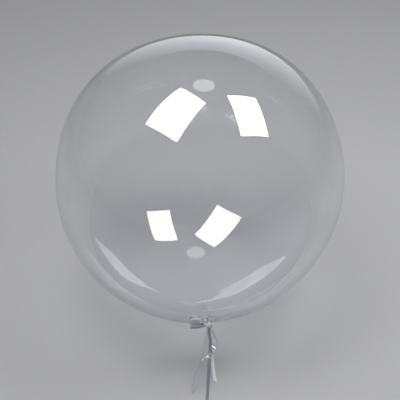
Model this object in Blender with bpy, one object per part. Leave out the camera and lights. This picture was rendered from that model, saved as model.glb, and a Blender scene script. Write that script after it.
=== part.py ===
"""Clear film bubble balloon, blown up round and tied at its neck with a satin ribbon, lying on the floor.

Everything is in metres, +Z up. The origin is the middle of the small flat spot that the film rests on. The neck
points forward (-Y) and down, so the gathered tail of film beyond it reaches the floor. Places on the balloon are
given in its own directions: side (+X), rise (square to the neck, upwards) and reach (along the neck, outwards),
measured from the middle of the bubble.
"""

import math

import bmesh
import bpy
from mathutils import Vector

# The bubble of film
BUBBLE_DIAMETER = 0.914
SHOULDER_FULLNESS = 0.0080
FAR_END_FLATTENING = 0.0100
LEFT_LEAN = 0.0040
FLAT_SPOT_DEPTH = 0.006
NECK_DIP_DEGREES = 41.5
FUNNEL_RADIUS = 0.080
FUNNEL_STRAIGHTNESS = 0.35
PLEATS = 12
PLEAT_DEPTH = 0.0022
PLEAT_REACH = 0.170

# The gathered neck and the tail of film beyond it
NECK_RADIUS = 0.0075
NECK_PLEAT_DEPTH = 0.0006
NECK_STAND = 0.003
NECK_LENGTH = 0.012
TAIL_LENGTH = 0.171
TAIL_HALF_WIDTH = 0.0255
TAIL_HALF_THICKNESS = 0.0030
TAIL_FOLD_DEPTH = 0.0026
TAIL_FOLDS = 3
TAIL_SPREAD_START = 0.004
TAIL_SPREAD = 0.060
TAIL_SWAY = 0.040
TAIL_SWAY_START = 0.054
TAIL_SWAY_LENGTH = 0.105
TAIL_TWIST_DEGREES = 8.0
TAIL_CUT_SLANT = 1.15

# The ribbon
RIBBON_WIDTH = 0.010
RIBBON_THICKNESS = 0.0008
COLLAR_WIDTH = 0.0090
COLLAR_THICKNESS = 0.0014
COLLAR_EDGE = 0.00056
KNOT_BEDDING = 0.0009
FRONT_KNOT = (0.0070, 0.0056, 0.0165)
LEFT_KNOT = (0.0105, 0.0080, 0.0125)
UNDER_KNOT = (0.0125, 0.0085, 0.0140)
FRONT_KNOT_TURN = 93.0
LEFT_KNOT_TURN = 186.0
UNDER_KNOT_TURN = 268.0
COIL_INNER_RADIUS = 0.043
COIL_OUTER_RADIUS = 0.057
COIL_HEIGHT = 0.0102
COIL_CENTRE = (0.0295, -0.6120)
GAP = 0.0003

# How finely the round shapes are cut into flats
AROUND = 72
BODY_RINGS = 28
FUNNEL_RINGS = 7
TAIL_RINGS = 14
COIL_SIDES = 48
COLLAR_SIDES = 30
KNOT_SIDES = 12
BAND_STEP = 0.007
LOOP_STEP = 0.00467
CURVE_PARTS = 24
CLOSEST = 1e-4
SHARP_EDGE_DEGREES = 40.0

# The ribbon's two ends, as chosen places along each (x, y, z) and its roll there in degrees: at 0 the ribbon's
# width runs along X, at 90 it stands on its edge
LONG_END_ROUTE = (
    (-0.0005, -0.3455, 0.1262, 35.0),
    (0.0000, -0.3480, 0.1180, 50.0),
    (0.0012, -0.3505, 0.1000, 45.0),
    (0.0032, -0.3535, 0.0780, 15.0),
    (0.0026, -0.3565, 0.0560, 0.0),
    (0.0022, -0.3620, 0.0360, 0.0),
    (0.0000, -0.3715, 0.0185, 0.0),
    (-0.0030, -0.3870, 0.0065, 0.0),
    (-0.0056, -0.4060, 0.0014, 0.0),
    (-0.0085, -0.4280, 0.0008, 0.0),
    (-0.0120, -0.4520, 0.0008, 0.0),
    (-0.0158, -0.4800, 0.0008, 0.0),
    (-0.0194, -0.5080, 0.0012, 0.0),
    (-0.0226, -0.5340, 0.0027, 20.0),
    (-0.0252, -0.5580, 0.0048, 52.0),
    (-0.0266, -0.5800, 0.0055, 84.0),
    (-0.0270, -0.6000, 0.0054, 90.0),
)
SHORT_END_ROUTE = (
    (0.0020, -0.3395, 0.1262, 35.0),
    (0.0022, -0.3405, 0.1130, 50.0),
    (0.0035, -0.3440, 0.0830, 20.0),
    (0.0035, -0.3470, 0.0600, 0.0),
    (0.0052, -0.3515, 0.0360, 0.0),
    (0.0072, -0.3590, 0.0180, 0.0),
    (0.0085, -0.3740, 0.0060, 0.0),
    (0.0088, -0.3930, 0.0014, 0.0),
    (0.0090, -0.4160, 0.0008, 0.0),
    (0.0093, -0.4340, 0.0008, 0.0),
    (0.0097, -0.4508, 0.0008, 0.0),
)

# The bow's two loops, as chosen places (side, rise, reach past the middle of the knot) from the knot and back to it,
# with the direction of the ribbon's width at each
BIG_LOOP_ROUTE = (
    ((-0.0125, 0.0055, -0.0010), (0.15, -0.10, 1.00)),
    ((-0.0185, 0.0260, -0.0010), (0.60, -0.40, 0.60)),
    ((-0.0285, 0.0500, -0.0060), (0.85, -0.50, 0.10)),
    ((-0.0400, 0.0690, -0.0095), (0.85, -0.20, 0.20)),
    ((-0.0520, 0.0730, -0.0100), (0.50, 0.60, 0.50)),
    ((-0.0610, 0.0600, -0.0095), (0.10, 0.60, 0.80)),
    ((-0.0640, 0.0440, -0.0080), (-0.05, 0.35, 0.90)),
    ((-0.0600, 0.0310, -0.0060), (0.00, 0.10, 1.00)),
    ((-0.0480, 0.0240, -0.0045), (0.00, 0.00, 1.00)),
    ((-0.0330, 0.0190, -0.0042), (0.00, 0.00, 1.00)),
    ((-0.0210, 0.0125, -0.0028), (0.00, 0.00, 1.00)),
    ((-0.0125, 0.0005, -0.0010), (0.00, 0.00, 1.00)),
)
SMALL_LOOP_ROUTE = (
    ((-0.0125, 0.0025, 0.0020), (0.00, 0.00, 1.00)),
    ((-0.0210, 0.0110, 0.0042), (0.00, 0.10, 1.00)),
    ((-0.0340, 0.0165, 0.0052), (0.05, 0.15, 1.00)),
    ((-0.0490, 0.0190, 0.0056), (0.10, 0.15, 1.00)),
    ((-0.0600, 0.0160, 0.0058), (0.10, 0.10, 1.00)),
    ((-0.0625, 0.0100, 0.0056), (0.00, 0.10, 1.00)),
    ((-0.0580, 0.0045, 0.0054), (0.00, 0.10, 1.00)),
    ((-0.0440, 0.0020, 0.0052), (0.00, 0.00, 1.00)),
    ((-0.0300, 0.0000, 0.0046), (0.00, 0.00, 1.00)),
    ((-0.0200, -0.0020, 0.0035), (0.00, 0.00, 1.00)),
    ((-0.0125, -0.0025, 0.0020), (0.00, 0.00, 1.00)),
)

FILM_COLOUR = (0.82, 0.84, 0.88)
RIBBON_COLOUR = (0.42, 0.41, 0.46)

BUBBLE_RADIUS = BUBBLE_DIAMETER / 2
NECK_DIP = math.radians(NECK_DIP_DEGREES)
NECK_START = BUBBLE_RADIUS + NECK_STAND
NECK_MIDDLE = NECK_START + NECK_LENGTH / 2
COLLAR_INSIDE = NECK_RADIUS + NECK_PLEAT_DEPTH + GAP
COLLAR_OUTSIDE = COLLAR_INSIDE + COLLAR_THICKNESS
SIDE = Vector((1, 0, 0))
RISE = Vector((0, -math.sin(NECK_DIP), math.cos(NECK_DIP)))
REACH = Vector((0, -math.cos(NECK_DIP), -math.sin(NECK_DIP)))


def smooth(share):
    """0 to 1 with a soft start and end."""
    share = min(max(share, 0.0), 1.0)
    return share * share * (3 - 2 * share)


def film_radius(angle):
    """Distance of the film from the middle of the bubble, at this angle from the neck.

    The half at the neck is round. Beyond the waist the shoulder is fuller and the far end a little flatter.
    """
    beyond_waist = max(0.0, -math.cos(angle))
    if beyond_waist == 0:
        return BUBBLE_RADIUS
    return BUBBLE_RADIUS + SHOULDER_FULLNESS * math.sin(2 * angle) ** 2 - FAR_END_FLATTENING * beyond_waist**8


MIDDLE_HEIGHT = film_radius(math.pi / 2 - NECK_DIP) - FLAT_SPOT_DEPTH


def place(side, rise, reach):
    """World place of a point given in the balloon's own directions."""
    return Vector((0, 0, MIDDLE_HEIGHT)) + SIDE * side + RISE * rise + REACH * reach


def material(name, colour, roughness, transmission=0.0):
    made = bpy.data.materials.new(name)
    made.use_nodes = True
    shader = made.node_tree.nodes["Principled BSDF"]
    shader.inputs["Base Color"].default_value = (*colour, 1)
    shader.inputs["Roughness"].default_value = roughness
    shader.inputs["Metallic"].default_value = 0.0
    shader.inputs["Transmission Weight"].default_value = transmission
    return made


def object_of(name, mesh_builder, finish):
    """A scene object from a bmesh, shaded smooth, with one material."""
    bmesh.ops.recalc_face_normals(mesh_builder, faces=mesh_builder.faces)
    mesh = bpy.data.meshes.new(name)
    mesh_builder.to_mesh(mesh)
    mesh_builder.free()
    mesh.materials.append(finish)
    mesh.shade_smooth()
    mesh.set_sharp_from_angle(angle=math.radians(SHARP_EDGE_DEGREES))
    made = bpy.data.objects.new(name, mesh)
    bpy.context.scene.collection.objects.link(made)
    return made


def bridge(mesh_builder, first, second):
    """A closed strip of four-sided faces between two rings of points."""
    count = len(first)
    for index in range(count):
        after = (index + 1) % count
        mesh_builder.faces.new((first[index], first[after], second[after], second[index]))


def body_profile():
    """(radius, reach) from the far end of the bubble to where the funnel to the neck begins."""
    funnel_angle = math.asin(FUNNEL_RADIUS / BUBBLE_RADIUS)
    points = []
    for step in range(1, BODY_RINGS + 1):
        angle = math.pi - step * (math.pi - funnel_angle) / BODY_RINGS
        radius = film_radius(angle)
        points.append((radius * math.sin(angle), radius * math.cos(angle)))
    return points


def funnel_profile(start):
    """(radius, reach) down the funnel, a curve that leaves the body along its surface and joins the neck along it."""
    angle = math.atan2(start[0], start[1])
    spread = start[0] - NECK_RADIUS
    leaving = (-math.cos(angle) * spread, math.sin(angle) * spread)
    joining = (0.0, FUNNEL_STRAIGHTNESS * spread)
    points = []
    for step in range(1, FUNNEL_RINGS + 1):
        share = step / FUNNEL_RINGS
        square, cube = share**2, share**3
        weights = (2 * cube - 3 * square + 1, cube - 2 * square + share, 3 * square - 2 * cube, cube - square)
        points.append(
            tuple(
                weights[0] * begin + weights[1] * leave + weights[2] * end + weights[3] * join
                for begin, leave, end, join in zip(start, leaving, (NECK_RADIUS, NECK_START), joining)
            )
        )
    return points


def pleat_height(radius):
    """How far a pleat stands proud of the film at this distance from the neck's axis."""
    fullest = FUNNEL_RADIUS / 2
    inner = smooth((radius - NECK_RADIUS) / (fullest - NECK_RADIUS))
    outer = 1 - smooth((radius - fullest) / (PLEAT_REACH - fullest))
    return NECK_PLEAT_DEPTH + (PLEAT_DEPTH - NECK_PLEAT_DEPTH) * inner if radius < fullest else PLEAT_DEPTH * outer


def body_ring(mesh_builder, profile, index):
    """One ring of the film round the neck's axis, pushed in and out by the pleats."""
    radius, reach = profile[index]
    before, after = profile[max(index - 1, 0)], profile[min(index + 1, len(profile) - 1)]
    run = Vector((after[0] - before[0], after[1] - before[1])).normalized()
    outward = (run.y, -run.x)
    height = pleat_height(radius) if reach > 0 else 0.0
    lean = 2 * LEFT_LEAN * radius * max(reach, 0.0) / BUBBLE_RADIUS**2
    ring = []
    for step in range(AROUND):
        angle = step * math.tau / AROUND
        proud = height * math.cos(PLEATS * angle) - lean * math.cos(angle)
        wide = radius + proud * outward[0]
        point = place(wide * math.cos(angle), wide * math.sin(angle), reach + proud * outward[1])
        ring.append(mesh_builder.verts.new(point))
    return ring


def tail_ring(mesh_builder, distance):
    """One ring of the tail: a gathered tube that opens out flat, sways to the side and is cut at a slant."""
    spread = smooth((distance - TAIL_SPREAD_START) / TAIL_SPREAD)
    half_width = NECK_RADIUS + (TAIL_HALF_WIDTH - NECK_RADIUS) * spread
    half_thickness = NECK_RADIUS + (TAIL_HALF_THICKNESS - NECK_RADIUS) * spread
    sway = -TAIL_SWAY * smooth((distance - TAIL_SWAY_START) / TAIL_SWAY_LENGTH)
    twist = math.radians(TAIL_TWIST_DEGREES) * distance / TAIL_LENGTH
    slant = TAIL_CUT_SLANT * smooth(distance / TAIL_LENGTH)
    pleat = NECK_PLEAT_DEPTH * (1 - spread)
    ring = []
    for step in range(AROUND):
        angle = step * math.tau / AROUND
        across = (half_width + pleat * math.cos(PLEATS * angle)) * math.cos(angle)
        fold = TAIL_FOLD_DEPTH * spread * math.sin(TAIL_FOLDS * math.pi * math.cos(angle))
        depth = (half_thickness + pleat * math.cos(PLEATS * angle)) * math.sin(angle) + fold
        side = sway + across * math.cos(twist) - depth * math.sin(twist)
        rise = across * math.sin(twist) + depth * math.cos(twist)
        reach = NECK_START + NECK_LENGTH + distance - slant * across
        ring.append(mesh_builder.verts.new(place(side, rise, reach)))
    return ring


def close_end(mesh_builder, ring):
    """Faces over the tail's cut end, between its upper and lower sides."""
    half = len(ring) // 2
    mesh_builder.faces.new((ring[0], ring[1], ring[-1]))
    for index in range(1, half - 1):
        mesh_builder.faces.new((ring[index], ring[index + 1], ring[-index - 1], ring[-index]))
    mesh_builder.faces.new((ring[half - 1], ring[half], ring[half + 1]))


def cut_flat_spot(mesh_builder):
    """Takes off what is below the floor and closes the film with a flat face there."""
    geometry = mesh_builder.verts[:] + mesh_builder.edges[:] + mesh_builder.faces[:]
    bmesh.ops.bisect_plane(
        mesh_builder, geom=geometry, dist=1e-6, plane_co=(0, 0, 0), plane_no=(0, 0, -1), clear_outer=True
    )
    rim = [edge for edge in mesh_builder.edges if edge.is_boundary]
    bmesh.ops.edgeloop_fill(mesh_builder, edges=rim)


def bubble(finish):
    mesh_builder = bmesh.new()
    body = body_profile()
    profile = body + funnel_profile(body[-1]) + [(NECK_RADIUS, NECK_START + NECK_LENGTH)]
    rings = [body_ring(mesh_builder, profile, index) for index in range(len(profile))]
    for step in range(1, TAIL_RINGS + 1):
        rings.append(tail_ring(mesh_builder, step * TAIL_LENGTH / TAIL_RINGS))
    for first, second in zip(rings, rings[1:]):
        bridge(mesh_builder, first, second)
    far_end = mesh_builder.verts.new(place(0, 0, -film_radius(math.pi)))
    for index in range(AROUND):
        mesh_builder.faces.new((rings[0][index], far_end, rings[0][(index + 1) % AROUND]))
    close_end(mesh_builder, rings[-1])
    cut_flat_spot(mesh_builder)
    return object_of("bubble", mesh_builder, finish)


def curve_through(places, step):
    """Evenly spaced points on a smooth curve through the places."""
    padded = [2 * places[0] - places[1], *places, 2 * places[-1] - places[-2]]
    fine = []
    for index in range(1, len(padded) - 2):
        a, b, c, d = padded[index - 1 : index + 3]
        for part in range(CURVE_PARTS):
            share = part / CURVE_PARTS
            fine.append(
                0.5
                * (
                    2 * b
                    + (c - a) * share
                    + (2 * a - 5 * b + 4 * c - d) * share**2
                    + (3 * b - a - 3 * c + d) * share**3
                )
            )
    fine.append(places[-1])
    lengths = [0.0]
    for first, second in zip(fine, fine[1:]):
        lengths.append(lengths[-1] + (second.to_3d() - first.to_3d()).length)
    count = max(2, round(lengths[-1] / step))
    chosen = []
    at = 0
    for number in range(count + 1):
        wanted = lengths[-1] * number / count
        while at < len(lengths) - 2 and lengths[at + 1] < wanted:
            at += 1
        share = (wanted - lengths[at]) / (lengths[at + 1] - lengths[at])
        chosen.append(fine[at].lerp(fine[at + 1], share))
    return chosen


def band(name, points, widths, finish):
    """A flat band of ribbon along the points, with its width along the direction given at each."""
    mesh_builder = bmesh.new()
    rings = []
    for index, (point, width) in enumerate(zip(points, widths)):
        along = (points[min(index + 1, len(points) - 1)] - points[max(index - 1, 0)]).normalized()
        across = (width - along * width.dot(along)).normalized()
        through = along.cross(across)
        corners = ((-1, -1), (1, -1), (1, 1), (-1, 1))
        ring = []
        for wide, thick in corners:
            offset = across * wide * RIBBON_WIDTH / 2 + through * thick * RIBBON_THICKNESS / 2
            ring.append(mesh_builder.verts.new(point + offset))
        rings.append(ring)
    for first, second in zip(rings, rings[1:]):
        bridge(mesh_builder, first, second)
    mesh_builder.faces.new(rings[0])
    mesh_builder.faces.new(rings[-1])
    return object_of(name, mesh_builder, finish)


def free_end(name, route, finish):
    """One end of the ribbon, hanging from the knot and lying on the floor."""
    samples = curve_through([Vector(place_and_roll) for place_and_roll in route], BAND_STEP)
    points = [sample.to_3d() for sample in samples]
    widths = []
    for index, sample in enumerate(samples):
        along = (points[min(index + 1, len(points) - 1)] - points[max(index - 1, 0)]).normalized()
        level = (SIDE - along * SIDE.dot(along)).normalized()
        roll = math.radians(sample[3])
        widths.append(level * math.cos(roll) + along.cross(level) * math.sin(roll))
    return band(name, points, widths, finish)


def bow_loop(name, route, finish):
    """One loop of the bow, from the knot out to the side and back."""
    places = [place(side, rise, NECK_MIDDLE + reach) for (side, rise, reach), _ in route]
    aims = [SIDE * side + RISE * rise + REACH * reach for _, (side, rise, reach) in route]
    points = curve_through(places, LOOP_STEP)
    widths = []
    for point in points:
        nearest = sorted(range(len(places)), key=lambda index: (places[index] - point).length)[:3]
        weights = [1 / (CLOSEST + (places[index] - point).length) for index in nearest]
        widths.append(sum((aims[index] * weight for index, weight in zip(nearest, weights)), Vector()))
    return band(name, points, widths, finish)


def knot(name, turn_degrees, sizes, finish):
    """A small rounded knot bedded on the collar this far round the neck: its width, its height and its length."""
    width, height, length = sizes
    turn = math.radians(turn_degrees)
    outward, around = Vector((math.cos(turn), math.sin(turn))), Vector((-math.sin(turn), math.cos(turn)))
    stand = COLLAR_OUTSIDE - KNOT_BEDDING + height / 2
    mesh_builder = bmesh.new()
    bmesh.ops.create_uvsphere(mesh_builder, u_segments=KNOT_SIDES, v_segments=KNOT_SIDES * 2 // 3, radius=0.5)
    for vert in mesh_builder.verts:
        x, y, z = vert.co
        flat = outward * (stand + y * height) + around * x * width
        vert.co = place(flat.x, flat.y, NECK_MIDDLE + z * length)
    return object_of(name, mesh_builder, finish)


def collar(finish):
    """The ribbon's turns round the neck, as one ring with rounded edges."""
    inner, outer = COLLAR_INSIDE, COLLAR_OUTSIDE
    half = COLLAR_WIDTH / 2
    edge = COLLAR_EDGE
    section = (
        (inner, -half),
        (outer - edge, -half),
        (outer, -half + edge),
        (outer, half - edge),
        (outer - edge, half),
        (inner, half),
    )
    mesh_builder = bmesh.new()
    rings = []
    for step in range(COLLAR_SIDES):
        angle = step * math.tau / COLLAR_SIDES
        ring = []
        for radius, reach in section:
            point = place(radius * math.cos(angle), radius * math.sin(angle), NECK_MIDDLE + reach)
            ring.append(mesh_builder.verts.new(point))
        rings.append(ring)
    for first, second in zip(rings, rings[1:] + rings[:1]):
        bridge(mesh_builder, first, second)
    return object_of("ribbon_bow", mesh_builder, finish)


def ribbon_bow(finish):
    """The collar, its knots and the two loops, joined into one solid."""
    bow = collar(finish)
    pieces = [
        knot("front_knot", FRONT_KNOT_TURN, FRONT_KNOT, finish),
        knot("left_knot", LEFT_KNOT_TURN, LEFT_KNOT, finish),
        knot("under_knot", UNDER_KNOT_TURN, UNDER_KNOT, finish),
        bow_loop("big_loop", BIG_LOOP_ROUTE, finish),
        bow_loop("small_loop", SMALL_LOOP_ROUTE, finish),
    ]
    for piece in pieces:
        piece.hide_render = True
        piece.display_type = "WIRE"
        union = bow.modifiers.new(piece.name, "BOOLEAN")
        union.operation = "UNION"
        union.solver = "EXACT"
        union.object = piece
    return bow


def coil_stock(finish):
    """The outer shape of the coil that the rest of the long end is wound into."""
    mesh_builder = bmesh.new()
    rings = []
    for radius, height in (
        (COIL_INNER_RADIUS, 0.0),
        (COIL_OUTER_RADIUS, 0.0),
        (COIL_OUTER_RADIUS, COIL_HEIGHT),
        (COIL_INNER_RADIUS, COIL_HEIGHT),
    ):
        ring = []
        for step in range(COIL_SIDES):
            angle = step * math.tau / COIL_SIDES
            x = COIL_CENTRE[0] + radius * math.cos(angle)
            y = COIL_CENTRE[1] + radius * math.sin(angle)
            ring.append(mesh_builder.verts.new((x, y, height)))
        rings.append(ring)
    for first, second in zip(rings, rings[1:] + rings[:1]):
        bridge(mesh_builder, first, second)
    return object_of("ribbon_coil", mesh_builder, finish)


def clear_scene():
    for old in list(bpy.data.objects):
        bpy.data.objects.remove(old, do_unlink=True)


clear_scene()
film = material("clear_film", FILM_COLOUR, roughness=0.05, transmission=1.0)
satin = material("satin_ribbon", RIBBON_COLOUR, roughness=0.35)
bubble(film)
ribbon_bow(satin)
free_end("ribbon_long_end", LONG_END_ROUTE, satin)
free_end("ribbon_short_end", SHORT_END_ROUTE, satin)
coil_stock(satin)
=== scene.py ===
"""A clear film bubble balloon, tied at its neck with a satin ribbon, lying on a pale studio floor.

The sections follow the balloon as it is put together: the film is blown up, the ribbon is tied round its
neck in a bow, and the ribbon's two ends hang to the floor. The floor, the lamps and the camera come last.
Everything is in metres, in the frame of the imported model: +Z up, the neck towards -Y.
"""

import math

import bmesh
import bpy
from mathutils import Matrix, Vector, noise


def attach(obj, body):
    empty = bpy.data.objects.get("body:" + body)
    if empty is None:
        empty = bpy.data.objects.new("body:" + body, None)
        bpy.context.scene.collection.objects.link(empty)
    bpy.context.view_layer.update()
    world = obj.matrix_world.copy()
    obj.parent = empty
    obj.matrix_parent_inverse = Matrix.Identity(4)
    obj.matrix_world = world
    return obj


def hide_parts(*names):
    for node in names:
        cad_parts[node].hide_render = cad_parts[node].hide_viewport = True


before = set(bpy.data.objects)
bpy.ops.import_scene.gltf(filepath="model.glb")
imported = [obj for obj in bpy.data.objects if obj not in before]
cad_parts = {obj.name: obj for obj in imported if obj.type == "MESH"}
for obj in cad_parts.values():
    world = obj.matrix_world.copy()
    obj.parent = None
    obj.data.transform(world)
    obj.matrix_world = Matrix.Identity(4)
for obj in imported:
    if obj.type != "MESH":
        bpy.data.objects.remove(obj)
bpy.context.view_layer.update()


# The bubble of film
# One skin of clear plastic film, stretched by the air in it until it is round and glossy like glass. It
# is gathered into pleats at the neck and runs on past the ribbon as a loose, crinkled tail of the same
# tube, cut off at a slant.
BUBBLE_RADIUS = 0.457
SHOULDER_FULLNESS = 0.0080
FAR_END_FLATTENING = 0.0100
LEFT_LEAN = 0.0040
FLAT_SPOT_DEPTH = 0.006
FLAT_SPOT_EDGE = 0.0016
NECK_DIP = math.radians(41.5)
FUNNEL_RADIUS = 0.080
FUNNEL_STRAIGHTNESS = 0.35
NECK_RADIUS = 0.0075
NECK_START = BUBBLE_RADIUS + 0.003
NECK_LENGTH = 0.012
NECK_MIDDLE = NECK_START + NECK_LENGTH / 2
FILM_THICKNESS = 0.00022
CUT_EDGE_ANGLE = math.radians(60)
FILM_WAVE = 0.00009
FILM_WAVE_SPACING = 0.085
PLEATS = 12
PLEAT_DEPTH = 0.0022
PLEAT_REACH = 0.170
NECK_PLEAT_DEPTH = 0.0006
FINE_PLEATS = 27
FINE_PLEAT_DEPTH = 0.0011
FINE_PLEAT_REACH = 0.115
FINE_PLEAT_EVENNESS = 0.62
FINE_PLEAT_AT_NECK = 0.15
FINE_PLEAT_FADE = 1.5
FOLD_SHARPNESS = 0.8
TAIL_LENGTH = 0.171
TAIL_HALF_WIDTH = 0.0255
TAIL_HALF_THICKNESS = 0.0030
TAIL_FOLDS = 3
TAIL_FOLD_DEPTH = 0.0026
FOLDS_SMOOTHED = 0.72
FOLD_ROUNDNESS = 0.4
TAIL_SPREAD_START = 0.004
GATHER_LENGTH = 0.020
TAIL_SPREAD = 0.060
TAIL_SWAY = 0.040
TAIL_SWAY_START = 0.054
TAIL_SWAY_LENGTH = 0.105
TAIL_TWIST = math.radians(8)
TAIL_CUT_SLANT = 1.15
CRUMPLE_DEPTH = 0.0007
CRUMPLE_SPACING = 0.015
CRUMPLE_LAYER = 0.3
FINER_SPACING = CRUMPLE_SPACING / 2.3
FINER_LAYER = 0.7
FINER_SHARE = 0.4
CRUMPLE_MIDDLE = 0.5
CREASE_WIDTH = 0.0062
CREASE_BACK_WIDTH = 0.0018
CREASE_CALM = 0.85
CREASE_CALM_FROM = 0.0007
RIPPLE_DEPTH = 0.0014
RIPPLE_SPACING = (0.034, 0.026)
RIPPLE_LAYER = 1.9
FILM_AROUND = 200
RING_CROWDING = 1.25
BODY_RINGS = 92
FUNNEL_RINGS = 24
NECK_RINGS = 4
TAIL_RINGS = 124
SIDE = Vector((1, 0, 0))
RISE = Vector((0, -math.sin(NECK_DIP), math.cos(NECK_DIP)))
REACH = Vector((0, -math.cos(NECK_DIP), -math.sin(NECK_DIP)))

# Creases pressed into the tail: the two ends of each (to the side, past the neck) and the height of its
# crest there
TAIL_CREASES = (
    ((0.006, 0.008), (0.016, 0.036), 0.0004, 0.0034),
    ((0.007, 0.024), (0.005, 0.044), 0.0002, 0.0030),
    ((0.005, 0.044), (0.012, 0.053), 0.0021, 0.0021),
    ((0.004, 0.062), (0.015, 0.075), 0.0022, 0.0022),
    ((0.015, 0.075), (0.005, 0.083), 0.0020, 0.0020),
    ((0.005, 0.083), (0.000, 0.090), 0.0020, 0.0020),
    ((0.000, 0.090), (-0.019, 0.098), 0.0019, 0.0019),
    ((-0.019, 0.098), (-0.043, 0.112), 0.0019, 0.0018),
    ((-0.004, 0.018), (-0.014, 0.036), 0.0004, 0.0024),
    ((-0.014, 0.038), (-0.020, 0.056), 0.0006, 0.0026),
    ((-0.022, 0.064), (-0.029, 0.086), 0.0005, 0.0024),
    ((0.024, 0.042), (0.012, 0.048), 0.0015, 0.0015),
    ((0.020, 0.096), (0.006, 0.108), 0.0013, 0.0013),
    ((-0.030, 0.124), (-0.048, 0.158), 0.0004, 0.0018),
)


def smooth(share):
    """0 to 1 with a soft start and end."""
    share = min(max(share, 0.0), 1.0)
    return share * share * (3 - 2 * share)


def film_radius(angle):
    """Distance of the film from the middle of the bubble, at this angle from the neck."""
    beyond_waist = max(0.0, -math.cos(angle))
    if beyond_waist == 0:
        return BUBBLE_RADIUS
    return BUBBLE_RADIUS + SHOULDER_FULLNESS * math.sin(2 * angle) ** 2 - FAR_END_FLATTENING * beyond_waist**8


MIDDLE = Vector((0, 0, film_radius(math.pi / 2 - NECK_DIP) - FLAT_SPOT_DEPTH))


def place(side, rise, reach):
    """World place of a point given from the bubble's middle: to the side, square to the neck, along it."""
    return MIDDLE + SIDE * side + RISE * rise + REACH * reach


def resting(point):
    """The same point, kept above the floor, with a rounded edge to the flat spot that the film lies on."""
    point.z = (point.z + math.hypot(point.z, FLAT_SPOT_EDGE)) / 2
    return point


def ridge(turn):
    """A row of folds with sharp crests and round valleys, from 1 to -1."""
    return 1 - 2 * abs(math.sin(turn / 2)) ** FOLD_SHARPNESS


def pleat_height(radius):
    """How far a large pleat stands proud of the film at this distance from the neck's axis."""
    fullest = FUNNEL_RADIUS / 2
    if radius < fullest:
        gathered = smooth((radius - NECK_RADIUS) / (fullest - NECK_RADIUS))
        return NECK_PLEAT_DEPTH + (PLEAT_DEPTH - NECK_PLEAT_DEPTH) * gathered
    return PLEAT_DEPTH * (1 - smooth((radius - fullest) / (PLEAT_REACH - fullest)))


def fine_pleat_height(radius, turn):
    """The fine pleats between the large ones. No two are as deep or as long as each other."""
    uneven = math.sin(5 * turn + 1.0) * math.sin(2 * turn)
    reach = FINE_PLEAT_REACH * (FINE_PLEAT_EVENNESS + (1 - FINE_PLEAT_EVENNESS) * uneven)
    gathered = smooth((radius - NECK_RADIUS) / FUNNEL_RADIUS * 2)
    fullness = FINE_PLEAT_AT_NECK + (1 - FINE_PLEAT_AT_NECK) * gathered
    faded = (1 - smooth((radius - NECK_RADIUS) / reach)) ** FINE_PLEAT_FADE
    return fullness * FINE_PLEAT_DEPTH * faded


def body_profile():
    """(radius, reach) from the bubble's far end, over its body and down the funnel, to the neck's end."""
    points = []
    funnel_angle = math.asin(FUNNEL_RADIUS / BUBBLE_RADIUS)
    for step in range(1, BODY_RINGS + 1):
        share = 1 - (1 - step / BODY_RINGS) ** RING_CROWDING
        angle = math.pi - share * (math.pi - funnel_angle)
        points.append((film_radius(angle) * math.sin(angle), film_radius(angle) * math.cos(angle)))
    start = points[-1]
    spread = start[0] - NECK_RADIUS
    leaving = (-math.cos(funnel_angle) * spread, math.sin(funnel_angle) * spread)
    joining = (0.0, FUNNEL_STRAIGHTNESS * spread)
    for step in range(1, FUNNEL_RINGS + 1):
        share = step / FUNNEL_RINGS
        square, cube = share**2, share**3
        weights = (
            2 * cube - 3 * square + 1,
            cube - 2 * square + share,
            3 * square - 2 * cube,
            cube - square,
        )
        ways = zip(start, leaving, (NECK_RADIUS, NECK_START), joining)
        points.append(tuple(sum(weight * part for weight, part in zip(weights, way)) for way in ways))
    for step in range(1, NECK_RINGS + 1):
        points.append((NECK_RADIUS, NECK_START + NECK_LENGTH * step / NECK_RINGS))
    return points


def body_ring(profile, index):
    """One ring of film round the neck's axis, pushed in and out by the pleats."""
    radius, reach = profile[index]
    before, after = profile[max(index - 1, 0)], profile[min(index + 1, len(profile) - 1)]
    run = Vector((after[0] - before[0], after[1] - before[1])).normalized()
    at_neck = reach > 0
    lean = 2 * LEFT_LEAN * radius * max(reach, 0.0) / BUBBLE_RADIUS**2
    ring = []
    for step in range(FILM_AROUND):
        turn = step * math.tau / FILM_AROUND
        proud = -lean * math.cos(turn)
        if at_neck:
            proud += pleat_height(radius) * math.cos(PLEATS * turn)
            proud += fine_pleat_height(radius, turn) * ridge(FINE_PLEATS * turn + 0.5 * math.sin(4 * turn))
        wide = radius + proud * run.y
        point = place(wide * math.cos(turn), wide * math.sin(turn), reach - proud * run.x)
        outward = (point - MIDDLE).normalized()
        tight = smooth(radius / FUNNEL_RADIUS)
        point += outward * tight * FILM_WAVE * noise.noise(point / FILM_WAVE_SPACING)
        ring.append(resting(point))
    return ring


def crease_height(side, past_neck):
    """Height of the creases here: each rises gently from the neck's side to its crest, then drops."""
    height = 0.0
    here = Vector((side, past_neck))
    for begin, end, low, high in TAIL_CREASES:
        begin, run = Vector(begin), Vector(end) - Vector(begin)
        share = min(max((here - begin).dot(run) / run.length_squared, 0.0), 1.0)
        off = here - begin - run * share
        width = CREASE_WIDTH if off.y < 0 else CREASE_BACK_WIDTH
        height += (low + (high - low) * share) * max(0.0, 1 - off.length / width)
    return height


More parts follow.
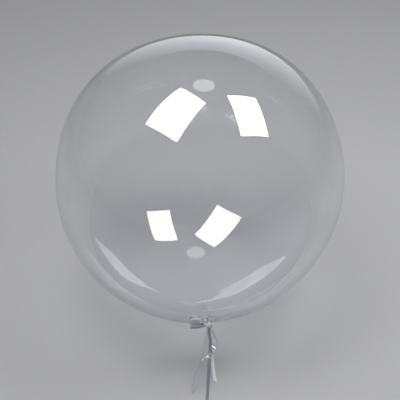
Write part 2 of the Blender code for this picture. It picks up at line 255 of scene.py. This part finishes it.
def tail_ring(distance):
    """One ring of the tail: a gathered tube that opens out flat, sways to the side and is cut at a slant."""
    spread = smooth((distance - TAIL_SPREAD_START) / TAIL_SPREAD)
    half_width = NECK_RADIUS + (TAIL_HALF_WIDTH - NECK_RADIUS) * spread
    half_thickness = NECK_RADIUS + (TAIL_HALF_THICKNESS - NECK_RADIUS) * spread
    sway = -TAIL_SWAY * smooth((distance - TAIL_SWAY_START) / TAIL_SWAY_LENGTH)
    twist = TAIL_TWIST * distance / TAIL_LENGTH
    slant = TAIL_CUT_SLANT * smooth(distance / TAIL_LENGTH)
    gathered = smooth(distance / GATHER_LENGTH)
    smoothed = FOLDS_SMOOTHED * smooth((distance - TAIL_SPREAD / 2) / TAIL_SPREAD)
    fold_depth = TAIL_FOLD_DEPTH * (1 - smoothed)
    ring = []
    for step in range(FILM_AROUND):
        turn = step * math.tau / FILM_AROUND
        pleat = (1 - spread) * (NECK_PLEAT_DEPTH * math.cos(PLEATS * turn))
        pleat += (1 - spread) * fine_pleat_height(NECK_RADIUS, turn) * ridge(FINE_PLEATS * turn)
        across = (half_width + pleat) * math.cos(turn)
        past_neck = distance - slant * across
        wave = TAIL_FOLDS * math.pi * math.cos(turn)
        sharp_fold = math.asin(math.sin(wave)) * 2 / math.pi
        fold = FOLD_ROUNDNESS * math.sin(wave) + (1 - FOLD_ROUNDNESS) * sharp_fold
        fold *= fold_depth * spread
        crease = crease_height(sway + across, past_neck)
        calm = 1 - CREASE_CALM * smooth(crease / CREASE_CALM_FROM)
        fold = calm * fold + gathered * crease
        crumple = abs(noise.noise(Vector((sway + across, past_neck, CRUMPLE_LAYER)) / CRUMPLE_SPACING))
        finer = abs(noise.noise(Vector((sway + across, past_neck, FINER_LAYER)) / FINER_SPACING))
        fold += CRUMPLE_DEPTH * gathered * calm * (crumple + FINER_SHARE * finer - CRUMPLE_MIDDLE)
        rippled = ((sway + across) / RIPPLE_SPACING[0], past_neck / RIPPLE_SPACING[1], RIPPLE_LAYER)
        fold += RIPPLE_DEPTH * gathered * spread * calm * noise.noise(Vector(rippled))
        depth = (half_thickness + pleat) * math.sin(turn) + fold
        side = sway + across * math.cos(twist) - depth * math.sin(twist)
        rise = across * math.sin(twist) + depth * math.cos(twist)
        ring.append(resting(place(side, rise, NECK_START + NECK_LENGTH + past_neck)))
    return ring


def joined_rings(maker, rings):
    """Faces between neighbouring rings of points, and the rings of mesh points that they join."""
    made = [[maker.verts.new(point) for point in ring] for ring in rings]
    for first, second in zip(made, made[1:]):
        count = len(first)
        for index in range(count):
            after = (index + 1) % count
            maker.faces.new((first[index], first[after], second[after], second[index]))
    return made


def piece_of(name, maker, material, sharp_degrees=180):
    """A scene object from the mesh being made, shaded smooth."""
    bmesh.ops.recalc_face_normals(maker, faces=maker.faces)
    mesh = bpy.data.meshes.new(name)
    maker.to_mesh(mesh)
    maker.free()
    mesh.materials.append(material)
    mesh.shade_smooth()
    mesh.set_sharp_from_angle(angle=math.radians(sharp_degrees))
    made = bpy.data.objects.new(name, mesh)
    bpy.context.scene.collection.objects.link(made)
    return made


def new_material(name):
    """A material with its shader, and a function that adds a node with its inputs' values or links."""
    material = bpy.data.materials.new(name)
    material.use_nodes = True
    tree = material.node_tree

    def add(kind, settings=(), **inputs):
        """A new node. An input is given by its name, or by its number after an underscore."""
        node = tree.nodes.new("ShaderNode" + kind)
        for key, value in dict(settings).items():
            setattr(node, key, value)
        for key, value in inputs.items():
            number = key[1:]
            socket = node.inputs[int(number) if number.isdigit() else key.replace("_", " ")]
            if isinstance(value, bpy.types.NodeSocket):
                tree.links.new(value, socket)
            else:
                socket.default_value = value
        return node

    return material, tree.nodes["Principled BSDF"], tree.links, add


def clear_film():
    """Clear glossy film: see-through, with a faint haze where it was rubbed."""
    material, shader, links, add = new_material("clear_film")
    shader.inputs["Base Color"].default_value = (0.975, 0.98, 0.992, 1)
    shader.inputs["Transmission Weight"].default_value = 1.0
    shader.inputs["IOR"].default_value = 1.75
    where = add("TexCoord").outputs["Object"]
    haze = add("TexNoise", Vector=where, Scale=9.0, Detail=4.0, Roughness=0.6)
    rubbed = add("MapRange", Value=haze.outputs["Fac"])
    rubbed.inputs["From Min"].default_value = 0.45
    rubbed.inputs["From Max"].default_value = 0.80
    rubbed.inputs["To Min"].default_value = 0.004
    rubbed.inputs["To Max"].default_value = 0.035
    links.new(rubbed.outputs["Result"], shader.inputs["Roughness"])
    return material


film_maker = bmesh.new()
film_profile = body_profile()
film_rings = [body_ring(film_profile, index) for index in range(len(film_profile))]
film_rings += [tail_ring(TAIL_LENGTH * step / TAIL_RINGS) for step in range(1, TAIL_RINGS + 1)]
film_mesh_rings = joined_rings(film_maker, film_rings)
far_end = film_maker.verts.new(place(0, 0, -film_radius(math.pi)))
for index in range(FILM_AROUND):
    after = (index + 1) % FILM_AROUND
    film_maker.faces.new((film_mesh_rings[0][index], far_end, film_mesh_rings[0][after]))
film_bubble = piece_of("film_bubble", film_maker, clear_film())
film_walls = film_bubble.modifiers.new("film_thickness", "SOLIDIFY")
film_walls.thickness = FILM_THICKNESS
film_walls.offset = -1
film_with_walls = film_bubble.evaluated_get(bpy.context.evaluated_depsgraph_get())
film_mesh = bpy.data.meshes.new_from_object(film_with_walls)
film_mesh.set_sharp_from_angle(angle=CUT_EDGE_ANGLE)
film_bubble.modifiers.clear()
film_bubble.data = film_mesh
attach(film_bubble, "root")
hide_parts("bubble")


# The ribbon's turns round the neck
# Two and a half turns of grey satin ribbon, 10 mm wide and woven, pulled tight round the gathered film.
# Each turn lies a little askew on the one below, and its edges show as thin steps.
RIBBON_WIDTH = 0.010
RIBBON_THICKNESS = 0.0003
THREAD = 0.0004
WEFT = THREAD * 2.2
STREAKS_ACROSS = 1800.0
STREAKS_ALONG = 45.0
EDGE_BEGINS = RIBBON_WIDTH * 0.44
EDGE_FIRM = RIBBON_WIDTH * 0.47
DULL_FACE = 1.0
BAND_STEPS = 8
BAND_EDGE_DEGREES = 60
TURN_INSIDE = 0.0086
TURN_RISE = 0.00036
NECK_TURNS = 2.5
TURN_STEPS = 60
TURN_WANDER = 0.0007
WANDER_PACE = 0.8
WANDER_START = 1.1
TURN_TILT = 0.04
TILT_PACE = 1.7
TURN_WIDTH = 0.0086


def satin_ribbon():
    """Grey satin: a shiny face painted lighter than the other as a painted sheen, long threads streaked with
    painted sheen, a firm edge and soft rubbed patches.
    """
    material, shader, links, add = new_material("satin_ribbon")
    shader.inputs["Specular IOR Level"].default_value = 0.85
    shader.inputs["Metallic"].default_value = 0.18
    shader.inputs["Sheen Weight"].default_value = 0.20
    shader.inputs["Sheen Roughness"].default_value = 0.35
    shader.inputs["Anisotropic"].default_value = 0.55

    def scaled(part, by):
        """The part times a number."""
        return add("Math", {"operation": "MULTIPLY"}, _0=part, _1=by).outputs[0]

    def added(part, share, rest):
        """The rest with this share of the part added."""
        return add("Math", {"operation": "MULTIPLY_ADD"}, _0=part, _1=share, _2=rest).outputs[0]

    cloth = add("UVMap", {"uv_map": "cloth"}).outputs["UV"]
    parts = add("SeparateXYZ", Vector=cloth)
    along = parts.outputs["Y"]
    dull_without_painted_sheen = add("Math", {"operation": "GREATER_THAN"}, _0=parts.outputs["X"], _1=DULL_FACE / 2).outputs[0]
    across = added(dull_without_painted_sheen, -DULL_FACE, parts.outputs["X"])
    # Streaks along the ribbon: in the colour they are a painted sheen along the threads, in the bump a real
    # relief.
    streak_place = add("CombineXYZ", X=scaled(across, STREAKS_ACROSS), Y=scaled(along, STREAKS_ALONG))
    streaks = add("TexNoise", Vector=streak_place.outputs[0], Scale=1.0, Detail=3.0, Roughness=0.6)
    rubbed = add("TexNoise", Vector=cloth, Scale=110.0, Detail=4.0, Roughness=0.55)
    threads = add("Math", {"operation": "SINE"}, _0=scaled(across, math.tau / THREAD)).outputs[0]
    weft = add("Math", {"operation": "SINE"}, _0=scaled(along, math.tau / WEFT)).outputs[0]
    off_middle = add("Math", {"operation": "ABSOLUTE"}, _0=across)
    edge = add("MapRange", Value=off_middle.outputs[0])
    edge.inputs["From Min"].default_value = EDGE_BEGINS
    edge.inputs["From Max"].default_value = EDGE_FIRM
    tone = added(streaks.outputs["Fac"], 0.55, 0.10)
    tone = added(rubbed.outputs["Fac"], 0.20, tone)
    tone = added(threads, 0.06, tone)
    tone = added(edge.outputs["Result"], -0.14, tone)
    tone = added(tone, 0.5, 0.5)
    # The shiny face takes the ramp's lighter half and the other face its darker half: a painted sheen on the
    # shiny face.
    tone = added(dull_without_painted_sheen, -0.5, tone)
    colour = add("ValToRGB", Fac=tone)
    ramp = colour.color_ramp.elements
    ramp[0].position, ramp[0].color = 0.08, (0.165, 0.162, 0.192, 1)
    ramp[1].position, ramp[1].color = 0.92, (0.930, 0.922, 0.955, 1)
    ramp.new(0.42).color = (0.300, 0.295, 0.335, 1)
    ramp.new(0.58).color = (0.700, 0.692, 0.738, 1)
    links.new(colour.outputs["Color"], shader.inputs["Base Color"])
    gloss = add("MapRange", Value=rubbed.outputs["Fac"])
    gloss.inputs["From Min"].default_value = 0.3
    gloss.inputs["From Max"].default_value = 0.7
    gloss.inputs["To Min"].default_value = 0.28
    gloss.inputs["To Max"].default_value = 0.36
    links.new(added(dull_without_painted_sheen, 0.18, gloss.outputs["Result"]), shader.inputs["Roughness"])
    relief = added(weft, 0.35, threads)
    relief = added(edge.outputs["Result"], 2.0, relief)
    relief = added(streaks.outputs["Fac"], 1.5, relief)
    bump = add("Bump", Strength=0.5, Distance=0.00003, Height=relief)
    links.new(bump.outputs["Normal"], shader.inputs["Normal"])
    grain = add("Tangent", {"direction_type": "UV_MAP", "uv_map": "cloth"})
    links.new(grain.outputs["Tangent"], shader.inputs["Tangent"])
    return material


satin = satin_ribbon()


def ribbon_band(name, points, widths, wide=None, cup=0.0, cut_slant=0.0, shiny=1):
    """A band of ribbon along the points, its width along the direction at each, cupped if asked.

    Its shiny face is the upper one where shiny is 1, and the lower one where it is -1. The shiny face is
    painted lighter than the other, a painted sheen.
    """
    maker = bmesh.new()
    cloth = maker.loops.layers.uv.new("cloth")
    places = {}
    rings = []
    gone = 0.0
    for index, (point, width) in enumerate(zip(points, widths)):
        before, after = points[max(index - 1, 0)], points[min(index + 1, len(points) - 1)]
        along = (after - before).normalized()
        level = (width - along * width.dot(along)).normalized()
        through = along.cross(level)
        full = wide[index] if wide else RIBBON_WIDTH
        gone += (point - points[index - 1]).length if index else 0.0
        at_end = cut_slant if index == len(points) - 1 else 0.0
        top, bottom = [], []
        for step in range(BAND_STEPS + 1):
            share = step / BAND_STEPS - 0.5
            curl = cup * (0.25 - share * share) * 4
            middle = point + level * share * full + through * curl + along * at_end * share * full
            for row, side in ((top, 0.5), (bottom, -0.5)):
                vert = maker.verts.new(middle + through * side * RIBBON_THICKNESS)
                places[vert] = (share * RIBBON_WIDTH + (DULL_FACE if side * shiny < 0 else 0), gone)
                row.append(vert)
        rings.append(top + bottom[::-1])
    for first, second in zip(rings, rings[1:]):
        for index in range(len(first)):
            after = (index + 1) % len(first)
            maker.faces.new((first[index], first[after], second[after], second[index]))
    for ring in (rings[0], rings[-1]):
        for index in range(BAND_STEPS):
            maker.faces.new((ring[index], ring[index + 1], ring[-index - 2], ring[-index - 1]))
    for face in maker.faces:
        for loop in face.loops:
            loop[cloth].uv = places[loop.vert]
    return piece_of(name, maker, satin, sharp_degrees=BAND_EDGE_DEGREES)


def bow_piece(piece):
    """Says that a piece belongs to the bow."""
    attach(piece, "root")
    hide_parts("ribbon_bow")


turn_points = []
turn_widths = []
for step in range(int(NECK_TURNS * TURN_STEPS) + 1):
    turned = step * math.tau / TURN_STEPS
    layer = step / TURN_STEPS
    radius = TURN_INSIDE + TURN_RISE * layer
    askew = TURN_WANDER * math.sin(turned * WANDER_PACE + WANDER_START)
    turn_points.append(place(radius * math.cos(turned), radius * math.sin(turned), NECK_MIDDLE + askew))
    turn_widths.append(REACH + SIDE * TURN_TILT * math.sin(turned * TILT_PACE))
neck_turns = ribbon_band("neck_turns", turn_points, turn_widths, wide=[TURN_WIDTH] * len(turn_points))
bow_piece(neck_turns)


# The knots
# The ribbon is crossed over itself and pulled tight, which leaves three small hard knots of folded satin
# on the turns round the neck: one in front, one where the bow's loops spring from, and one where the two
# ends hang from.
TURNS_OUTSIDE = 0.0098
KNOT_BEDDING = 0.0009
FRONT_KNOT = (0.0070, 0.0056, 0.0165)
LEFT_KNOT = (0.0105, 0.0080, 0.0125)
UNDER_KNOT = (0.0125, 0.0085, 0.0140)
FRONT_KNOT_TURN = math.radians(93)
LEFT_KNOT_TURN = math.radians(186)
UNDER_KNOT_TURN = math.radians(268)
KNOT_FOLDS = 5
KNOT_FOLD_DEPTH = 0.13
KNOT_TWIST = 1.3
KNOT_ROUNDNESS = 0.75
KNOT_CLOSED = 0.96
KNOT_CLOTH_WIDTH = RIBBON_WIDTH * 0.8
KNOT_AROUND = 60
KNOT_ALONG = 26


def knot(name, turn, sizes, lean):
    """A knot of folded satin: a rounded body whose folds run slantwise along it and meet at its ends."""
    width, height, length = sizes
    outward = SIDE * math.cos(turn) + RISE * math.sin(turn)
    around = RISE * math.cos(turn) - SIDE * math.sin(turn)
    middle = place(0, 0, NECK_MIDDLE) + outward * (TURNS_OUTSIDE - KNOT_BEDDING + height / 2)
    maker = bmesh.new()
    cloth = maker.loops.layers.uv.new("cloth")
    rings = []
    for step in range(KNOT_ALONG + 1):
        down = math.pi * (0.5 + (step - KNOT_ALONG / 2) / KNOT_ALONG * KNOT_CLOSED)
        full = math.sin(down) ** KNOT_ROUNDNESS
        ring = []
        for part in range(KNOT_AROUND):
            angle = part * math.tau / KNOT_AROUND
            fold = abs(math.sin(KNOT_FOLDS / 2 * (angle + KNOT_TWIST * math.cos(down) + lean)))
            out = full * (1 - KNOT_FOLD_DEPTH + KNOT_FOLD_DEPTH * fold)
            point = middle + around * out * math.cos(angle) * width / 2
            point += outward * out * math.sin(angle) * height / 2
            point += REACH * math.cos(down) * length / 2
            ring.append(point)
        rings.append(ring)
    made = joined_rings(maker, rings)
    for ring in (made[0], made[-1]):
        maker.faces.new(ring)
    place_of = {
        vert: (KNOT_CLOTH_WIDTH * (part / KNOT_AROUND - 0.5), length * step / KNOT_ALONG)
        for step, ring in enumerate(made)
        for part, vert in enumerate(ring)
    }
    for face in maker.faces:
        for loop in face.loops:
            loop[cloth].uv = place_of[loop.vert]
    return piece_of(name, maker, satin)


front_knot = knot("front_knot", FRONT_KNOT_TURN, FRONT_KNOT, lean=0.4)
left_knot = knot("left_knot", LEFT_KNOT_TURN, LEFT_KNOT, lean=1.0)
under_knot = knot("under_knot", UNDER_KNOT_TURN, UNDER_KNOT, lean=0.0)
for piece in (front_knot, left_knot, under_knot):
    bow_piece(piece)


# The bow's two loops
# Both loops spring from the left knot and hang to the left: a tall one that stands up over the film, and
# a flat one in front of it. They are the same ribbon, shiny face outwards, held only by the knot.
LOOP_STEP = 0.0016
CURVE_PARTS = 24
LOOP_CUP = 0.0006
PINCHED = 0.42
PINCH_REACH = 0.028

# Chosen places on each loop (side, rise, reach past the middle of the knot) and the direction of the
# ribbon's width
BIG_LOOP_ROUTE = (
    ((-0.0125, 0.0055, -0.0010), (0.15, -0.10, 1.00)),
    ((-0.0185, 0.0260, -0.0015), (0.60, -0.10, 0.70)),
    ((-0.0285, 0.0510, -0.0070), (0.66, 0.33, 0.66)),
    ((-0.0400, 0.0700, -0.0115), (0.53, 0.54, 0.64)),
    ((-0.0520, 0.0745, -0.0120), (0.00, 0.77, 0.64)),
    ((-0.0610, 0.0610, -0.0110), (-0.50, 0.42, 0.70)),
    ((-0.0640, 0.0440, -0.0085), (-0.20, 0.25, 0.90)),
    ((-0.0600, 0.0310, -0.0055), (0.00, 0.45, 0.88)),
    ((-0.0480, 0.0240, -0.0032), (0.15, 0.55, 0.80)),
    ((-0.0330, 0.0190, -0.0024), (0.15, 0.55, 0.80)),
    ((-0.0210, 0.0125, -0.0018), (0.10, 0.30, 0.92)),
    ((-0.0125, 0.0005, -0.0010), (0.00, 0.00, 1.00)),
)
SMALL_LOOP_ROUTE = (
    ((-0.0125, 0.0025, 0.0015), (0.00, 0.00, 1.00)),
    ((-0.0210, 0.0110, 0.0024), (0.00, 0.18, 0.98)),
    ((-0.0340, 0.0165, 0.0022), (0.05, 0.25, 0.97)),
    ((-0.0490, 0.0190, 0.0024), (0.05, 0.25, 0.97)),
    ((-0.0600, 0.0160, 0.0034), (0.20, 0.35, 0.90)),
    ((-0.0625, 0.0100, 0.0044), (0.30, 0.40, 0.85)),
    ((-0.0580, 0.0045, 0.0052), (0.15, 0.30, 0.93)),
    ((-0.0440, 0.0020, 0.0056), (0.00, 0.20, 0.98)),
    ((-0.0300, 0.0000, 0.0048), (0.00, 0.15, 0.98)),
    ((-0.0200, -0.0020, 0.0035), (0.00, 0.00, 1.00)),
    ((-0.0125, -0.0025, 0.0020), (0.00, 0.00, 1.00)),
)


def curve_through(places, step):
    """Evenly spaced points on a smooth curve through the places."""
    padded = [2 * places[0] - places[1], *places, 2 * places[-1] - places[-2]]
    fine = []
    for index in range(1, len(padded) - 2):
        a, b, c, d = padded[index - 1 : index + 3]
        for part in range(CURVE_PARTS):
            share = part / CURVE_PARTS
            bend = (2 * a - 5 * b + 4 * c - d) * share**2 + (3 * b - a - 3 * c + d) * share**3
            fine.append(0.5 * (2 * b + (c - a) * share + bend))
    fine.append(places[-1])
    lengths = [0.0]
    for first, second in zip(fine, fine[1:]):
        lengths.append(lengths[-1] + (second.to_3d() - first.to_3d()).length)
    count = max(2, round(lengths[-1] / step))
    chosen = []
    at = 0
    for number in range(count + 1):
        wanted = lengths[-1] * number / count
        while at < len(lengths) - 2 and lengths[at + 1] < wanted:
            at += 1
        share = (wanted - lengths[at]) / (lengths[at + 1] - lengths[at])
        chosen.append(fine[at].lerp(fine[at + 1], share))
    return chosen


def bow_loop(name, route):
    """One loop of the bow, from the knot out to the side and back, pinched where the knot holds it."""
    samples = curve_through([Vector((*spot, *aim)) for spot, aim in route], LOOP_STEP)
    points = [place(side, rise, NECK_MIDDLE + reach) for side, rise, reach, *_ in samples]
    widths = [SIDE * side + RISE * rise + REACH * reach for _, _, _, side, rise, reach in samples]
    last = len(points) - 1
    wide = []
    for index in range(last + 1):
        from_knot = min(index, last - index) * LOOP_STEP
        wide.append(RIBBON_WIDTH * (PINCHED + (1 - PINCHED) * smooth(from_knot / PINCH_REACH)))
    return ribbon_band(name, points, widths, wide=wide, cup=LOOP_CUP)


bow_piece(bow_loop("tall_loop", BIG_LOOP_ROUTE))
bow_piece(bow_loop("flat_loop", SMALL_LOOP_ROUTE))


# The ribbon's short end
# The end that was left over when the bow was tied. It hangs from the under knot, behind the film's tail,
# and lies on the floor as far as its slanted cut. The whole of it shows in the photo.
END_STEP = 0.003
END_CUT_SLANT = 0.7

# Chosen places along it (x, y, z) and its roll there in degrees: at 0 the ribbon's width runs along X
SHORT_END_ROUTE = (
    (0.0020, -0.3395, 0.1262, 35.0),
    (0.0022, -0.3405, 0.1130, 50.0),
    (0.0035, -0.3440, 0.0830, 20.0),
    (0.0035, -0.3470, 0.0600, 0.0),
    (0.0052, -0.3515, 0.0360, 0.0),
    (0.0072, -0.3590, 0.0180, 0.0),
    (0.0085, -0.3740, 0.0060, 0.0),
    (0.0088, -0.3930, 0.0014, 0.0),
    (0.0090, -0.4160, 0.0008, 0.0),
    (0.0093, -0.4340, 0.0008, 0.0),
    (0.0097, -0.4508, 0.0008, 0.0),
)


def hanging_end(route):
    """Points along a free end and the direction of its width at each."""
    samples = curve_through([Vector(place_and_roll) for place_and_roll in route], END_STEP)
    points = [sample.to_3d() for sample in samples]
    widths = []
    for index, sample in enumerate(samples):
        along = (points[min(index + 1, len(points) - 1)] - points[max(index - 1, 0)]).normalized()
        level = (SIDE - along * SIDE.dot(along)).normalized()
        roll = math.radians(sample[3])
        widths.append(level * math.cos(roll) + along.cross(level) * math.sin(roll))
    return points, widths


short_points, short_widths = hanging_end(SHORT_END_ROUTE)
short_end = ribbon_band("short_end", short_points, short_widths, cut_slant=END_CUT_SLANT)
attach(short_end, "root")
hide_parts("ribbon_short_end")


# The ribbon's long end
# The end that holds the balloon when it is hung or handed over. It hangs from the under knot, runs out
# over the floor and rolls on its edge into a flat coil, where the rest of its length is wound up. Its own
# end is cut at a slant.
COIL_CENTRE = Vector((0.0295, -0.6120))
COIL_OUTSIDE = 0.0577
COIL_INSIDE = 0.0447
COIL_START = math.radians(168)
COIL_TURNS = 2.66
COIL_POINTS_A_TURN = 24
COIL_HEIGHT = 0.0053
JOINED_STEPS = 5

LONG_END_ROUTE = (
    (-0.0005, -0.3455, 0.1262, 35.0),
    (0.0000, -0.3480, 0.1180, 50.0),
    (0.0012, -0.3505, 0.1000, 45.0),
    (0.0032, -0.3535, 0.0780, 15.0),
    (0.0026, -0.3565, 0.0560, 0.0),
    (0.0022, -0.3620, 0.0360, 0.0),
    (0.0000, -0.3715, 0.0185, 0.0),
    (-0.0030, -0.3870, 0.0065, 0.0),
    (-0.0056, -0.4060, 0.0014, 0.0),
    (-0.0085, -0.4280, 0.0008, 0.0),
    (-0.0120, -0.4520, 0.0008, 0.0),
    (-0.0158, -0.4800, 0.0008, 0.0),
    (-0.0194, -0.5080, 0.0012, 0.0),
    (-0.0226, -0.5340, 0.0027, 20.0),
    (-0.0252, -0.5580, 0.0048, 52.0),
    (-0.0266, -0.5800, 0.0055, 84.0),
    (-0.0270, -0.6000, 0.0054, 90.0),
)

long_points, long_widths = hanging_end(LONG_END_ROUTE)
joint = long_points[-1 - JOINED_STEPS]
coil_places = [joint, long_points[-1]]
for step in range(1, int(COIL_TURNS * COIL_POINTS_A_TURN) + 1):
    share = step / (COIL_TURNS * COIL_POINTS_A_TURN)
    angle = COIL_START + share * COIL_TURNS * math.tau
    radius = COIL_OUTSIDE + (COIL_INSIDE - COIL_OUTSIDE) * share
    flat = COIL_CENTRE + Vector((math.cos(angle), math.sin(angle))) * radius
    coil_places.append(Vector((flat.x, flat.y, COIL_HEIGHT)))
wound = curve_through(coil_places, END_STEP)
first_wound = 0
while (wound[first_wound] - joint).length <= JOINED_STEPS * END_STEP:
    first_wound += 1
coil_points = wound[first_wound:]
long_points += coil_points
long_widths += [Vector((0, 0, 1))] * len(coil_points)
# The long end lies with its shiny face down, so the face on top lacks the painted sheen and shows darker.
long_end = ribbon_band("long_end", long_points, long_widths, cut_slant=END_CUT_SLANT, shiny=-1)
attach(long_end, "root")
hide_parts("ribbon_long_end", "ribbon_coil")


# The floor
# A plain pale studio floor of painted board, large enough to reach past every view. It only shows the
# balloon's shade and isn't part of it.
FLOOR_HALF_SIZE = 60.0
FLOOR_UNEVENNESS = 0.06
# From FLOOR_EVEN_TO out to FLOOR_PALEST_AT the floor's colour is painted paler: painted light on the far
# floor, which the lamps light less.
FLOOR_EVEN_TO = 2.2
FLOOR_PALEST_AT = 9.0


def pale_floor():
    """Pale grey painted board with a very faint unevenness, and painted light: paler far from the middle,
    where the lamps light it less.
    """
    material, shader, links, add = new_material("pale_floor")
    where = add("TexCoord").outputs["Object"]
    uneven = add("TexNoise", Vector=where, Scale=1.3, Detail=3.0, Roughness=0.5)
    from_middle = add("VectorMath", {"operation": "LENGTH"}, _0=where)
    painted_light_far_off = add("MapRange", {"interpolation_type": "SMOOTHSTEP"}, Value=from_middle.outputs["Value"])
    painted_light_far_off.inputs["From Min"].default_value = FLOOR_EVEN_TO
    painted_light_far_off.inputs["From Max"].default_value = FLOOR_PALEST_AT
    tone = add("Math", {"operation": "MULTIPLY_ADD"}, _0=uneven.outputs["Fac"], _1=FLOOR_UNEVENNESS)
    links.new(painted_light_far_off.outputs["Result"], tone.inputs[2])
    paint_and_painted_light = add("ValToRGB", Fac=tone.outputs[0])
    paint_and_painted_light.color_ramp.elements[0].color = (0.440, 0.440, 0.448, 1)
    paint_and_painted_light.color_ramp.elements[1].color = (0.700, 0.700, 0.710, 1)
    links.new(paint_and_painted_light.outputs["Color"], shader.inputs["Base Color"])
    shader.inputs["Roughness"].default_value = 0.85
    shader.inputs["Specular IOR Level"].default_value = 0.2
    return material


floor_maker = bmesh.new()
bmesh.ops.create_grid(floor_maker, x_segments=2, y_segments=2, size=FLOOR_HALF_SIZE)
floor = piece_of("floor", floor_maker, pale_floor())


# The lamps
# Two softboxes almost overhead and a small round lamp beyond them, which the film mirrors twice: upright
# in its front wall and upside down in its rear wall. A wide dim cloth far behind lights the top edge of
# the bubble, and the room is pale overhead and darker towards the horizon.

# Of each lamp: its place, the way that its first side runs, the way that it faces, its sides, its light
LEFT_SOFTBOX = (
    Vector((-0.708, -0.267, 3.172)),
    (0.70, -0.71, 0.00),
    (0.46, 0.45, -0.76),
    (1.20, 1.79),
    7.8,
)
RIGHT_SOFTBOX = (
    Vector((1.471, -0.292, 2.803)),
    (0.96, 0.26, -0.12),
    (-0.24, 0.49, -0.84),
    (1.06, 1.36),
    7.8,
)
ROUND_LAMP = (
    Vector((0.325, 1.194, 5.702)),
    (1, 0, 0),
    (-0.05, 0.28, -0.96),
    (1.23, 1.23),
    1.5,
)
BACK_CLOTH = (
    Vector((1.60, 7.00, 2.60)),
    (1, 0, 0),
    (-0.22, -0.97, -0.10),
    (13.0, 5.0),
    1.7,
)
BACK_CLOTH_SPREAD = math.radians(78)
BACK_CLOTH_COLOUR = (0.94, 0.94, 1.0)
ROOM_AT_HORIZON = (0.200, 0.202, 0.210, 1)
ROOM_OVERHEAD = (0.345, 0.348, 0.360, 1)


def lamp(name, where, level, facing, sizes, brightness, shape="RECTANGLE", spread=math.pi):
    """A flat lamp that faces this way, with this brightness all over its face seen from in front."""
    data = bpy.data.lights.new(name, "AREA")
    data.shape = shape
    data.size, data.size_y = sizes
    data.spread = spread
    area = sizes[0] * sizes[1] * (math.pi / 4 if shape == "DISK" else 1.0)
    shaded = 1.0 if spread == math.pi else 1 - spread / 2 / math.tan(spread / 2)
    data.energy = brightness * math.pi * area * shaded
    away = -Vector(facing).normalized()
    level = (Vector(level) - away * away.dot(Vector(level))).normalized()
    made = bpy.data.objects.new(name, data)
    turned = Matrix((level, away.cross(level), away)).transposed().to_4x4()
    made.matrix_world = Matrix.Translation(where) @ turned
    made.visible_camera = False
    bpy.context.scene.collection.objects.link(made)
    return made


lamp("left_softbox", *LEFT_SOFTBOX)
lamp("right_softbox", *RIGHT_SOFTBOX)
lamp("round_lamp", *ROUND_LAMP, shape="DISK")
back_cloth = lamp("back_cloth", *BACK_CLOTH, spread=BACK_CLOTH_SPREAD)
back_cloth.data.color = BACK_CLOTH_COLOUR
back_cloth.visible_diffuse = False
back_cloth.visible_transmission = False
room = bpy.data.worlds.new("room")
room.use_nodes = True
room_nodes, room_links = room.node_tree.nodes, room.node_tree.links
room_way = room_nodes.new("ShaderNodeTexCoord")
room_height = room_nodes.new("ShaderNodeSeparateXYZ")
room_tone = room_nodes.new("ShaderNodeValToRGB")
room_tone.color_ramp.elements[0].color = ROOM_AT_HORIZON
room_tone.color_ramp.elements[1].color = ROOM_OVERHEAD
room_links.new(room_way.outputs["Generated"], room_height.inputs["Vector"])
room_links.new(room_height.outputs["Z"], room_tone.inputs["Fac"])
room_links.new(room_tone.outputs["Color"], room_nodes["Background"].inputs["Color"])
bpy.context.scene.world = room
bpy.context.scene.view_settings.view_transform = "Standard"
bpy.context.scene.cycles.blur_glossy = 0.0


# The camera
# It looks down on the lying balloon from the side of its neck, so that the bubble, the knot, the tail and
# the ribbon stand in the picture where the photo has them.
CAMERA_TURN = math.radians(-4.7)
CAMERA_HEIGHT = math.radians(34.5)
CAMERA_DISTANCE = 3.6
SENSOR = 36.0
LENS = 101.9
AIM_BELOW = 0.0684
AIM_RIGHT = -0.0003

backwards = Vector((
    math.sin(CAMERA_TURN) * math.cos(CAMERA_HEIGHT),
    -math.cos(CAMERA_TURN) * math.cos(CAMERA_HEIGHT),
    math.sin(CAMERA_HEIGHT),
))
rightwards = Vector((math.cos(CAMERA_TURN), math.sin(CAMERA_TURN), 0))
upwards = backwards.cross(rightwards)
camera_data = bpy.data.cameras.new("camera")
camera_data.lens = LENS
camera_data.sensor_width = SENSOR
camera = bpy.data.objects.new("camera", camera_data)
stand = MIDDLE + backwards * CAMERA_DISTANCE
aim = MIDDLE - upwards * AIM_BELOW + rightwards * AIM_RIGHT
looking = (aim - stand).normalized()
turned_up = (upwards - looking * upwards.dot(looking)).normalized()
camera_turn = Matrix((looking.cross(turned_up), turned_up, -looking)).transposed().to_4x4()
camera.matrix_world = Matrix.Translation(stand) @ camera_turn
bpy.context.scene.collection.objects.link(camera)
bpy.context.scene.camera = camera
